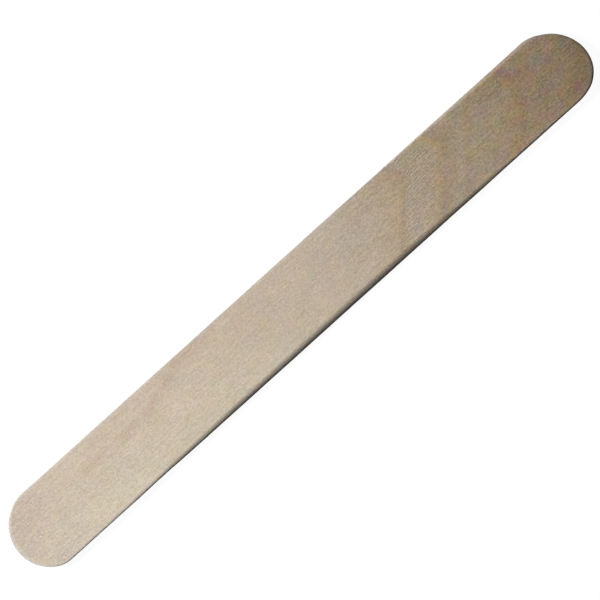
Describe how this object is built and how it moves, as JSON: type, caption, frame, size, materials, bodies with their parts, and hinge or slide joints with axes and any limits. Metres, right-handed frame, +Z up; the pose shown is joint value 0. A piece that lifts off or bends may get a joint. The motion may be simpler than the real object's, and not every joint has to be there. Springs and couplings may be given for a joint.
{
  "type": "tongue depressor",
  "caption": "Flat wooden blade with straight parallel sides, rounded ends and softened edges, for holding down the tongue.",
  "frame": {"origin": "middle of the flat underside, on the surface that the blade lies on", "axes": "+X along the blade, +Y across it towards the side with the plain edge, +Z up through its thickness"},
  "size_m": [0.15, 0.0164, 0.0016],
  "materials": {
    "birch_veneer": "sanded, unfinished"
  },
  "bodies": {
    "root": {"blade": "birch_veneer"}
  },
  "joints": []
}
